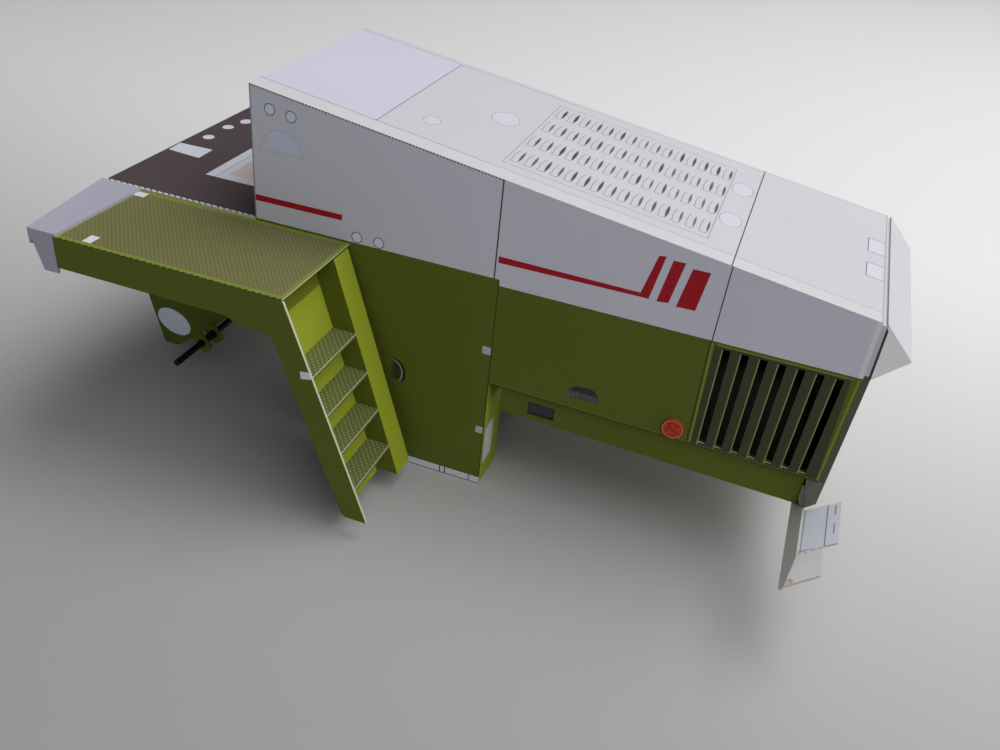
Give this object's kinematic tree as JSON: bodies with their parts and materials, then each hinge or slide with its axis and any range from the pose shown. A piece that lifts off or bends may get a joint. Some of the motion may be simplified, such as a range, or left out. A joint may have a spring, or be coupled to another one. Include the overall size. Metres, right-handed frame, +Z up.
{
  "type": "card model of a forage harvester body",
  "caption": "Folded card scale model of a forage harvester's body: sloping hood, slotted engine bay, cab floor, side deck with ladder, and a bare front axle that turns.",
  "frame": {"origin": "on the floor, under the middle of the model's length and width", "axes": "+X forward to the cab floor's end, +Y to the machine's left with the ladder, +Z up"},
  "size_m": [0.1492, 0.0918, 0.0712],
  "materials": {
    "white_card": "printed matt card",
    "green_card": "printed matt card",
    "tread_card": "printed tread plate",
    "brown_card": "printed matt card",
    "orange_disc": "printed matt card",
    "black_rod": "black wire"
  },
  "bodies": {
    "model": {"tall_hood": "white_card", "rear_hood": "white_card", "rear_apron": "white_card", "base_sheet": "green_card", "engine_side_left": "green_card", "engine_side_right": "green_card", "rear_panel": "white_card", "chassis_tray": "green_card", "door_box_left": "green_card", "door_box_right": "green_card", "cab_floor": "brown_card", "left_deck": "tread_card", "left_skirt": "green_card", "right_skirt": "green_card", "front_tab": "white_card", "inner_stringer": "green_card", "ladder_back": "green_card", "tread_1": "tread_card", "tread_2": "tread_card", "tread_3": "tread_card", "tread_4": "tread_card", "front_housing": "green_card", "axle_ear_left": "green_card", "axle_ear_right": "green_card", "lamp_bar": "white_card", "marker_left": "orange_disc", "marker_right": "orange_disc"},
    "axle": {"axle_rod": "black_rod", "hub_left": "green_card", "hub_right": "green_card"}
  },
  "joints": [
    {"name": "axle_turn", "type": "hinge", "parent": "model", "child": "axle", "pos_m": [0.05575, 0, 0.01408], "axis": [0, 1, 0], "continuous": true}
  ]
}
